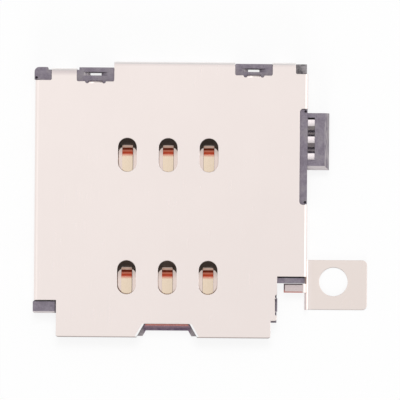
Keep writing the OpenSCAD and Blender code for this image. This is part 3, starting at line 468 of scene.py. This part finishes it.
def moulded(name, dark, light):
    """Glass-filled polymer between two tones."""
    material, tree, shader, place = start_material(name)
    facing = put(tree, "SeparateXYZ", {0: put(tree, "NewGeometry").outputs["True Normal"]}).outputs
    level = put(tree, "MapRange", {0: facing[2], 1: 0.3, 2: 0.5}).outputs[0]
    tone = marked(tree, place, level, cloudy(tree, place, dark, light))
    share = bevel_highlight(tree, place, facing, level)
    # painted highlight on bevels that face the near and right sides, and on the notch's feet
    highlight_and_burnish = put(tree, "Mix", {"Factor": share, 6: tone, 7: colour("#d2caca")}, data_type="RGBA")
    tree.links.new(highlight_and_burnish.outputs[2], shader.inputs["Base Color"])
    grain = put(tree, "TexNoise", {"Vector": place, "Scale": 1 / GRAIN, "Detail": 2}).outputs[0]
    rough = put(tree, "MapRange", {"Value": grain, "To Min": 0.45, "To Max": 0.65})
    tree.links.new(rough.outputs[0], shader.inputs["Roughness"])
    relief = put(tree, "Bump", {"Height": grain, "Strength": 0.25, "Distance": GRAIN_DEPTH})
    tree.links.new(relief.outputs[0], shader.inputs["Normal"])
    shader.inputs["IOR"].default_value = 1.55
    return material


polymer = moulded("glass_filled_polymer", "#776e7a", "#938b96")
# painted shade in recesses and grooves, a painted reflection of the gold in the wells
recess_shade_polymer = moulded("polymer_with_painted_recess_shade", "#645b60", "#78706f")
groove_shade_polymer = moulded("polymer_with_painted_groove_shade", "#332b2f", "#473f43")
well_reflection_polymer = moulded("polymer_with_painted_gold_reflection", "#927e70", "#a8968a")
print("made", polymer.name, recess_shade_polymer.name, groove_shade_polymer.name, well_reflection_polymer.name)

# %% [markdown]
# ## Finish of the springs
#
# The springs are phosphor bronze strip, plated with gold over nickel. The frame that an arm is cut from gets a
# thinner gold: the nickel below makes it paler, and painted shade dims it to the rear. Tin covers the switch's
# terminals, to be soldered. All three are streaked along the strip, so one function makes them. An attribute of
# the mesh, past_nose, tells in mm how far past the arm's nose a point lies.

# %% Gold and tin
def strip_metal(name, light, dark, rough_from, rough_to):
    """Plated strip: streaks along the strip in its colour and its roughness."""
    material, tree, shader, place = start_material(name)
    stretched = put(tree, "Mapping", {"Vector": place, "Scale": (1 / STREAK_W, 0.5 / STREAK_W, 1 / STREAK_W)})
    streak = put(tree, "TexNoise", {"Vector": stretched.outputs[0], "Scale": 1.0, "Detail": 3}).outputs[0]
    tone = put(tree, "Mix", {"Factor": streak, 6: colour(light), 7: colour(dark)}, data_type="RGBA").outputs[2]
    tree.links.new(tone, shader.inputs["Base Color"])
    rough = put(tree, "MapRange", {"Value": streak, "To Min": rough_from, "To Max": rough_to})
    tree.links.new(rough.outputs[0], shader.inputs["Roughness"])
    shader.inputs["Metallic"].default_value = 1.0
    return material, tree, shader, tone


REAR_SHADE_LEN = 0.35  # mm past the nose, over which the frame dims
tin = strip_metal("matt_tin_plate", "#f8eff0", "#f0e6e8", 0.18, 0.28)[0]
thin_gold, tree, shader, thin = strip_metal("thin_gold_over_nickel", "#e8d7cf", "#decbc3", 0.05, 0.1)
past = put(tree, "Attribute", attribute_name="past_nose").outputs["Fac"]
dim = put(tree, "MapRange", {"Value": past, "From Max": REAR_SHADE_LEN}).outputs[0]
# painted shade towards the frame's rear
tone = put(tree, "Mix", {"Factor": dim, 6: thin, 7: colour("#cabbb4")}, data_type="RGBA")
tree.links.new(tone.outputs[2], shader.inputs["Base Color"])
gold, tree, shader, plate = strip_metal("gold_flash_over_nickel", "#ecd9c3", "#e5d1b9", 0.07, 0.13)
print("made", gold.name, thin_gold.name, tin.name)

# %% [markdown]
# The gold stops just past the nose that touches the card, so the tip shows the bare bronze, red where it was
# wiped by the plating mask. Further on, painted shade darkens it to brown, a painted orange highlight lies
# between the two, and a painted highlight makes the cut end pale. A colour ramp along the tip draws these bands.
# The card burnishes the arm's level top, so its normals are turned towards straight up there.

# %% Bare tip of the springs
TIP_LEN = 0.72  # mm, the length that the bands below are a share of
BARE_FROM = (-0.01, 0.2)  # mm past the nose, where the gold thins out and where it ends
# red bronze, a painted orange highlight, painted dark shade, then a painted highlight on the cut end
BANDS = [(0.02, "#d0562f"), (0.25, "#ca4c2d"), (0.38, "#ca4c2d"), (0.47, "#dd8068"), (0.555, "#dd8068"),
         (0.62, "#782c18"), (0.75, "#782c18"), (0.82, "#ffd6c0"), (0.95, "#ffd6c0"), (1.0, "#7d6254")]

past = put(tree, "Attribute", attribute_name="past_nose").outputs["Fac"]
share = put(tree, "MapRange", {"Value": past, "From Max": TIP_LEN}).outputs[0]
bands = put(tree, "ValToRGB", {0: share})
for along, code in BANDS:
    bands.color_ramp.elements.new(along).color = colour(code)
bare = put(tree, "MapRange", {0: past, 1: BARE_FROM[0], 2: BARE_FROM[1]}).outputs[0]
both = put(tree, "Mix", {"Factor": bare, 6: plate, 7: bands.outputs[0]}, data_type="RGBA")
tree.links.new(both.outputs[2], shader.inputs["Base Color"])
metal = put(tree, "MapRange", {"Value": bare, "To Min": 1.0, "To Max": 0.05})
tree.links.new(metal.outputs[0], shader.inputs["Metallic"])
facing = put(tree, "NewGeometry").outputs["Normal"]
height = put(tree, "SeparateXYZ", {0: facing}).outputs[2]
highlight_and_burnish = put(tree, "MapRange", {0: height, 1: 0.9, 2: 0.97, 3: 0.0, 4: 0.9}).outputs[0]
burnish = put(tree, "Mix", {0: highlight_and_burnish, 4: facing, 5: (0, 0, 1)}, data_type="VECTOR")
tree.links.new(burnish.outputs[1], shader.inputs["Normal"])
print("bands:", len(bands.color_ramp.elements))

# %% [markdown]
# ## Shell
#
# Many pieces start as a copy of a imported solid, which is loose triangles. They could be kept, but an inset or
# a bevel needs whole faces to work on, so points at the same place and triangles in the same plane are joined.

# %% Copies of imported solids
SAME_POINT = 0.0005 * MM  # points closer than this are joined to one
SAME_FACE = math.radians(0.5)  # and so are faces that differ by less than this


def only(piece):
    """Selects this piece alone."""
    bpy.ops.object.select_all(action="DESELECT")
    piece.select_set(True)
    bpy.context.view_layer.objects.active = piece


def joined_copy(node, name, *materials):
    """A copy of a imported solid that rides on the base, with its triangles joined to whole faces."""
    piece = bpy.data.objects.new(name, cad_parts[node].data.copy())
    scene.collection.objects.link(piece)
    piece.data.materials.clear()
    for material in materials:
        piece.data.materials.append(material)
    only(piece)
    bpy.ops.object.mode_set(mode="EDIT")
    bpy.ops.mesh.select_all(action="SELECT")
    bpy.ops.mesh.remove_doubles(threshold=SAME_POINT)
    bpy.ops.mesh.dissolve_limited(angle_limit=SAME_FACE)
    bpy.ops.object.mode_set(mode="OBJECT")
    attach(piece, "base")
    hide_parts(node)
    return piece


print("points are joined within mm:", SAME_POINT / MM)

# %% [markdown]
# The shell is one sheet, punched and folded. The imported solid already has its folds and lock tabs, so it is
# copied and not modelled again. Its faces get their finishes by where they look: upright faces no higher than
# the sheet is thick are cut edges. So is the end of the right wall, whose front part gets a darker nickel.

# %% Shell
SHEET_T = 0.12  # mm
WALL_END_Z = 0.78  # mm, where the right wall ends beside the stop tab
DARKER_FROM_Y = -4.5  # mm, the wall's end is darker in front of this
NICKEL, BARE, DARKER, RIM_SHADE_REFLECTION = range(4)  # slots of the shell's finishes

shell = joined_copy("shell", "shell_sheet", nickel, bare_edge, darker_nickel, rim_shade_reflection)
for face in shell.data.polygons:
    heights = [shell.data.vertices[v].co.z / MM for v in face.vertices]
    upright = abs(face.normal.z) < 0.1 and max(heights) - min(heights) < 1.1 * SHEET_T
    wall_end = face.normal.z > 0.99 and abs(max(heights) - WALL_END_Z) < 0.01
    face.material_index = BARE if upright or wall_end else NICKEL
    if wall_end and face.center.y < DARKER_FROM_Y * MM:
        face.material_index = DARKER
print("shell faces:", len(shell.data.polygons))

# %% [markdown]
# The stop tab is bent down from the sheet to stop the tray. Its top is a darker nickel, with a rim of painted
# shade and painted red reflection on three sides. The rim could be drawn by the finish, but an inset of that one
# face gives it clean mitred corners.

# %% Stop tab
RIM_W = 0.07 * MM
TAB_LOW, TAB_HIGH = (7.2, -4.71, 0.99), (8.48, -4.13, 1.01)  # mm, a box round the tab's top
DARKER_LOW, DARKER_HIGH = (7.35, -4.62), (8.48, -4.22)  # mm, the middle of the darker face lies within


def pick(piece, wanted):
    """Selects the faces of a piece that a test of their points in mm wants, and leaves it in edit mode."""
    only(piece)
    bpy.ops.object.mode_set(mode="EDIT")
    bpy.ops.mesh.select_mode(type="FACE")
    bpy.ops.mesh.select_all(action="DESELECT")
    bpy.ops.object.mode_set(mode="OBJECT")
    for face in piece.data.polygons:
        face.select = wanted([piece.data.vertices[v].co / MM for v in face.vertices])
    bpy.ops.object.mode_set(mode="EDIT")


def tab_top(points):
    """Whether a face belongs to the tab's top."""
    return all(TAB_LOW[i] < p[i] < TAB_HIGH[i] for p in points for i in range(3))


pick(shell, tab_top)
bpy.ops.mesh.inset(thickness=RIM_W)
bpy.ops.object.mode_set(mode="OBJECT")
for face in shell.data.polygons:
    if tab_top([shell.data.vertices[v].co / MM for v in face.vertices]):
        middle = face.center / MM
        within = all(DARKER_LOW[i] <= middle[i] <= DARKER_HIGH[i] for i in range(2))
        # the darker middle, and round it the rim of painted shade and painted red reflection
        face.material_index = DARKER if within else RIM_SHADE_REFLECTION
print("shell faces:", len(shell.data.polygons))

# %% [markdown]
# The sheet's folds are true rounds, but the mesh has them as rows of narrow flats. More flats would hide that
# too. Smooth shading does it at no cost, and weighted normals then keep the large faces level.

# %% Smooth folds
SMOOTH = math.radians(40)  # bends are shaded smooth up to this angle


def smooth(piece):
    """Shades bends smooth and keeps flats flat."""
    only(piece)
    bpy.ops.object.shade_smooth_by_angle(angle=SMOOTH)
    flats = piece.modifiers.new("flats", "WEIGHTED_NORMAL")
    flats.keep_sharp = True
    bpy.ops.object.modifier_apply(modifier=flats.name)


smooth(shell)
print("smooth up to", round(math.degrees(SMOOTH)), "degrees")

# %% [markdown]
# A stamped or moulded edge is never sharp: it is rounded by a few hundredths of a millimetre at most, and that
# is what catches the light. Every edge could be picked by hand, but a bevel limited by angle finds them all.

# %% Softened edges
SHARP = math.radians(48)  # edges are rounded from this angle on


def soften(piece, width):
    """Rounds the sharp edges of a piece."""
    only(piece)
    edge = piece.modifiers.new("edges", "BEVEL")
    edge.width = width
    edge.segments = 2
    edge.limit_method = "ANGLE"
    edge.angle_limit = SHARP
    bpy.ops.object.modifier_apply(modifier=edge.name)
    smooth(piece)


print("edges are rounded from", round(math.degrees(SHARP)), "degrees on")

# %% [markdown]
# The punch leaves a thin lip along the notch's inner edge, which carries a painted red reflection. It could be
# pulled out of the sheet's own edge, but a small bar with rounded edges leaves the sheet whole.

# %% Lip of the notch
LIP = Vector((2.7, 0.1, 0.04)) * MM
LIP_Y = -6.75 * MM
LIP_DOWN = 0.07 * MM  # from the shell's top to the middle of the lip
LIP_SOFT = 0.01 * MM

bpy.ops.object.select_all(action="DESELECT")
bpy.ops.mesh.primitive_cube_add(size=1, location=(0, LIP_Y, cad_box[1].z - LIP_DOWN))
lip = bpy.context.object
lip.name = "notch_lip"
lip.scale = LIP
bpy.ops.object.transform_apply(location=True, rotation=True, scale=True)
# painted red reflection on the lip
lip.data.materials.append(rim_shade_reflection)
soften(lip, LIP_SOFT)
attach(lip, "base")
print("lip in mm:", [round(x / MM, 2) for x in lip.dimensions])

# %% [markdown]
# ## Housing
#
# The housing is one moulding. It could be used as packed, but its edges are razor sharp, so the copy is
# softened by a fiftieth of a millimetre. Boxes tell which of its faces are recesses and grooves, which get
# painted shade. The wells are all that lies between the floor's underside and its top in the middle of the
# socket, and get a painted reflection of the gold.

# %% Housing
RECESS_SHADE, GROOVE_SHADE, WELL_REFLECTION = 1, 2, 3  # slots of the housing's finishes, after the plain polymer
# the recesses and grooves in these boxes get painted shade
FINISHES = [  # slot, and low and high corners in mm
    (RECESS_SHADE, (8.68, 4.1, 1.0), (9.15, 5.7, 1.1)),  # ribs between the terminals
    (GROOVE_SHADE, (8.68, 6.1, 0.5), (9.15, 6.25, 1.16)),  # the opening behind them
    (GROOVE_SHADE, (-8.4, -5.4, 0.9), (-6.85, -5.1, 1.4)),  # grooves beside the shell
    (GROOVE_SHADE, (-7.05, -6.2, 0.9), (-6.8, -5.2, 1.4)),
    (GROOVE_SHADE, (6.8, -3.85, 0.9), (8.6, -3.6, 1.4)),
]
WELLS_X = 4.6  # mm, the wells lie within this on both sides
WELLS_Y = (-6, 4.6)  # mm
WELL_EDGE = 0.02  # mm, what is left out at the floor's top and underside
MOULD_SOFT = 0.02 * MM

housing = joined_copy("housing", "housing_moulding", polymer, recess_shade_polymer, groove_shade_polymer, well_reflection_polymer)
floor_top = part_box("contact_5_tail")[1].z / MM
for face in housing.data.polygons:
    points = [housing.data.vertices[v].co / MM for v in face.vertices]
    for slot, low, high in FINISHES:
        if all(low[i] <= p[i] <= high[i] for p in points for i in range(3)):
            face.material_index = slot
    middle = face.center / MM
    # the wells get a painted reflection of the gold
    under_arms = abs(middle.x) < WELLS_X and WELLS_Y[0] < middle.y < WELLS_Y[1]
    if under_arms and WELL_EDGE < middle.z < floor_top - WELL_EDGE and face.normal.z > -0.5:
        face.material_index = WELL_REFLECTION
soften(housing, MOULD_SOFT)
print("housing faces:", len(housing.data.polygons))

# %% [markdown]
# ## Springs
#
# Each contact is one stamping: a solder foot, a flat frame in the floor, and an arm that is cut out of the
# frame and bent up to a rolled nose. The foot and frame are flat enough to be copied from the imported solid.
# The arm could be drawn as an outline and thickened. Here its section is carried along its path, by
# extruding the straight runs and spinning the bends, just as the strip is bent in the press.

# %% Helpers for bent strip
BEND_STEP = 6  # degrees of a bend in each step


def begin_strip(name, at, ahead, across, width, thick):
    """The section of a strip as one face, ready to be carried along."""
    bpy.ops.object.select_all(action="DESELECT")
    turned = Matrix((across, ahead.cross(across), ahead)).transposed()
    bpy.ops.mesh.primitive_plane_add(size=1, location=at, rotation=turned.to_euler())
    piece = bpy.context.object
    piece.name = name
    piece.scale = (width, thick, 1)
    bpy.ops.object.transform_apply(location=True, rotation=True, scale=True)
    bpy.ops.object.mode_set(mode="EDIT")
    bpy.ops.mesh.select_all(action="SELECT")
    return piece


def carry(path, at, along, rise, heading):
    """Carries the selected end along a path of (straight run, turn in degrees, radius of the bend)."""
    axis = along.cross(rise)
    for run, turn, radius in path:
        ahead = math.cos(heading) * along + math.sin(heading) * rise
        if run:
            bpy.ops.mesh.extrude_region_move(TRANSFORM_OT_translate={"value": ahead * run})
            at = at + ahead * run
        if turn:
            inward = math.copysign(radius, turn) * (math.cos(heading) * rise - math.sin(heading) * along)
            centre = at + inward
            steps = max(2, round(abs(turn) / BEND_STEP))
            bpy.ops.mesh.spin(steps=steps, angle=-math.radians(turn), center=centre, axis=axis)
            at = centre - Matrix.Rotation(math.radians(turn), 3, axis) @ inward
            heading += math.radians(turn)
    bpy.ops.mesh.select_all(action="SELECT")
    bpy.ops.mesh.normals_make_consistent(inside=False)
    bpy.ops.object.mode_set(mode="OBJECT")
    return at


print("strip helpers ready")

# %% [markdown]
# Contact 5 stands in the middle of the front row, where X is 0, so it is the one to model. The arm rises from
# its root to a knee, goes on more gently to the nose, rolls over it and falls to the tip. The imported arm's box
# gives the height of the nose and both ends. The rest follows from the radii and slopes of the bends.

# %% Path of contact 5
X, Y, Z = Vector((1, 0, 0)), Vector((0, 1, 0)), Vector((0, 0, 1))
STRIP_T = 0.1 * MM
FLEX_IN = 0.06 * MM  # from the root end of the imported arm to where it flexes
FLAT = 0.07 * MM  # from the frame's bar to where the arm flexes
root_r, knee_r, nose_r = 0.2 * MM, 0.3 * MM, 0.35 * MM
knee_run = 1.1 * MM
nose_run = 2.2 * MM
lead, fall = math.radians(9), math.radians(36)  # slopes before and after the nose

low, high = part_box("contact_5_arm")
strip_w = high.x - low.x
floor_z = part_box("contact_5_tail")[1].z - STRIP_T / 2  # middle of the strip in the floor
flex_y = low.y + FLEX_IN
nose_y = flex_y + nose_run
nose_z = high.z - STRIP_T / 2
lead_run = nose_run - nose_r * math.sin(lead) - knee_run
knee_rise = nose_z - floor_z - nose_r * (1 - math.cos(lead)) - lead_run * math.tan(lead)
slope = math.atan2(knee_rise, knee_run)
root_half = root_r * math.tan(slope / 2)
knee_half = knee_r * math.tan((slope - lead) / 2)
tip = (high.y - nose_y - nose_r * math.sin(fall) - STRIP_T / 2 * math.sin(fall)) / math.cos(fall)
contact_path = [
    (FLAT - root_half, math.degrees(slope), root_r),
    (math.hypot(knee_run, knee_rise) - root_half - knee_half, math.degrees(lead - slope), knee_r),
    (lead_run / math.cos(lead) - knee_half, -math.degrees(lead + fall), nose_r),
    (tip, 0, 0),
]
print("arm slope in degrees:", round(math.degrees(slope), 1))

# %% [markdown]
# The strip is carried along that path, gets its gold and softened edges, and then the attribute that tells the
# gold where the nose is. An attribute travels with the mesh, so every copy of the arm has it in its own place.

# %% Contact 5
STRIP_SOFT = 0.004 * MM

start = Vector((0, flex_y - FLAT, floor_z))
contact_5 = begin_strip("contact_5_spring", start, Y, X, strip_w, STRIP_T)
end = carry(contact_path, start, Y, Z, 0.0)
contact_5.data.materials.append(gold)
soften(contact_5, STRIP_SOFT)
past = contact_5.data.attributes.new("past_nose", "FLOAT", "POINT")
past.data.foreach_set("value", [(v.co.y - nose_y) / MM for v in contact_5.data.vertices])
print("contact faces:", len(contact_5.data.polygons), "tip at", [round(x / MM, 2) for x in end])

# %% [markdown]
# The other five arms are the same. Each could be carried along the path again, but a copy with its own mesh,
# moved to its slot, is sure to be alike. An arm bends near its frame when the card presses it.

# %% All six arms
NUMBERS = (1, 2, 3, 4, 5, 6)

for number in NUMBERS:
    if number != 5:
        contact = contact_5.copy()
        contact.data = contact_5.data.copy()
        contact.name = f"contact_{number}_spring"
        contact.data.transform(Matrix.Translation(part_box(f"contact_{number}_arm")[0] - low))
        scene.collection.objects.link(contact)
for number in NUMBERS:
    contact = bpy.data.objects[f"contact_{number}_spring"]
    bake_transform(contact)
    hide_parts(f"contact_{number}_arm")

# %% [markdown]
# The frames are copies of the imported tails. The punch leaves no more than a hairline beside an arm, so the
# inner sides of each frame are picked and scaled across, about the arm's middle, until they nearly touch it.

# %% Frames round the arms
SLIT = 0.04 * MM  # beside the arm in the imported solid
HAIRLINE = 0.006 * MM  # what is left of it
NEARLY = 0.005  # mm, how closely a side has to lie where the slit ends

inner_half = strip_w / 2 + SLIT
closer = (strip_w / 2 + HAIRLINE) / inner_half
for number in NUMBERS:
    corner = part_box(f"contact_{number}_arm")[0]
    middle = corner.x + strip_w / 2
    tail = joined_copy(f"contact_{number}_tail", f"contact_{number}_frame", thin_gold)
    pick(tail, lambda points: all(abs(abs(p.x - middle / MM) - inner_half / MM) < NEARLY for p in points))
    bpy.ops.transform.resize(value=(closer, 1, 1), center_override=(middle, 0, 0))
    bpy.ops.object.mode_set(mode="OBJECT")
    soften(tail, STRIP_SOFT)
    past = tail.data.attributes.new("past_nose", "FLOAT", "POINT")
    nose = corner.y + FLEX_IN + nose_run
    past.data.foreach_set("value", [(v.co.y - nose) / MM for v in tail.data.vertices])
print("slit in mm:", HAIRLINE / MM)

# %% [markdown]
# ## Switch
#
# Three tinned terminals come up through the block at the right side, go over its inner edge and hang down
# behind the tray's path. They are bent strips again, so the same two helpers make them.

# %% Helpers for terminals
BEND_R = 0.12 * MM
TERMINAL_FOOT = 0.36 * MM
TERMINAL_SOFT = 0.012 * MM


def make_terminal(node, name, path, start, heading):
    """A tinned terminal in place of a packed one, bent in the plane across the socket."""
    low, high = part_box(node)
    ahead = math.cos(heading) * X + math.sin(heading) * Z
    piece = begin_strip(name, start, ahead, -Y, high.y - low.y, STRIP_T)
    carry(path, start, X, Z, heading)
    piece.data.materials.append(tin)
    soften(piece, TERMINAL_SOFT)
    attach(piece, "base")
    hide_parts(node)
    return piece


def over_and_out(x, node):
    """The last bends of every terminal: over the block's edge, down and out to the solder foot."""
    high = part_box(node)[1]
    over = high.x - TERMINAL_FOOT - 2 * BEND_R
    top = high.z - STRIP_T / 2
    return [(over - x, -90, BEND_R), (top - STRIP_T / 2 - 2 * BEND_R, 90, BEND_R), (TERMINAL_FOOT, 0, 0)]


print("terminal helpers ready")

# %% [markdown]
# The first and the last terminal are alike. Each starts at its hanging end, goes straight up, turns over the
# block's inner edge and then follows the bends that all three share.

# %% Two hung terminals
HUNG_Z = 0.47 * MM  # the hanging end

for node in ("detect_common", "detect_open"):
    low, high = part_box(node)
    start = Vector((low.x + STRIP_T / 2, (low.y + high.y) / 2, HUNG_Z))
    up = high.z - STRIP_T / 2 - BEND_R - start.z
    path = [(up, -90, BEND_R)] + over_and_out(start.x + BEND_R, node)
    make_terminal(node, node + "_terminal", path, start, math.pi / 2)
print("hung terminals made")

# %% [markdown]
# The terminal between them reaches under the leaf: it hangs down inside the channel, runs along the floor below
# the block's bar, and comes up again outside it. It is the same strip with two more bends.

# %% The terminal under the leaf
FLOOR_T = 0.32 * MM  # the floor that it runs on is this thick
BAR_X = 8.18 * MM  # where it comes up

node = "detect_closed"
low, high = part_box(node)
top = high.z - STRIP_T / 2
under = FLOOR_T + STRIP_T / 2
bar_x = BAR_X + BEND_R
start = Vector((low.x + STRIP_T / 2, (low.y + high.y) / 2, top))
path = [
    (top - under - BEND_R, 90, BEND_R),
    (bar_x - start.x - 2 * BEND_R, 90, BEND_R),
    (top - under - 2 * BEND_R, -90, BEND_R),
] + over_and_out(bar_x + BEND_R, node)
make_terminal(node, node + "_terminal", path, start, -math.pi / 2)
print("terminal under the leaf made")

# %% [markdown]
# The leaf is the switch's spring. It leaves the first terminal, runs forward and rolls a nose into the
# tray's path. It is carried along its path like an arm, but lies on edge. It bends near the terminal.

# %% Leaf
LEAF_SOFT = 0.012 * MM
HINGE_X, HINGE_Y = 7.85 * MM, 5.61 * MM  # the upright line that the leaf turns about
leaf_r, bend_r = 0.3 * MM, 0.2 * MM
leaf_run = 2.75 * MM  # from the hinge to the middle of the nose
leaf_end = 0.5 * MM  # from there to the tip
leaf_fall = math.radians(35)

low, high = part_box("detect_leaf")
common_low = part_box("detect_common")[0]
hinge = Vector((HINGE_X, HINGE_Y, (low.z + high.z) / 2))
leaf_rise = hinge.x - low.x - STRIP_T / 2 - leaf_r
reach = math.hypot(leaf_run, leaf_rise)  # from the hinge to the middle of the nose's bend
leaf_slope = math.atan2(leaf_rise, leaf_run) + math.asin(leaf_r / reach)
leaf_straight = math.sqrt(reach ** 2 - leaf_r ** 2)
leaf_tip = (leaf_end - leaf_r * math.sin(leaf_fall)) / math.cos(leaf_fall)
bend_half = bend_r * math.tan(leaf_slope / 2)
start = Vector((hinge.x, common_low.y, hinge.z))
path = [
    (start.y - hinge.y - bend_half, math.degrees(leaf_slope), bend_r),
    (leaf_straight - bend_half, -math.degrees(leaf_slope + leaf_fall), leaf_r),
    (leaf_tip, 0, 0),
]
leaf = begin_strip("detect_leaf_spring", start, -Y, Z, high.z - low.z, STRIP_T)
carry(path, start, -Y, -X, 0.0)
leaf.data.materials.append(gold)
soften(leaf, LEAF_SOFT)
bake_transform(leaf)
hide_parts("detect_leaf")
print("leaf slope in degrees:", round(math.degrees(leaf_slope), 1))
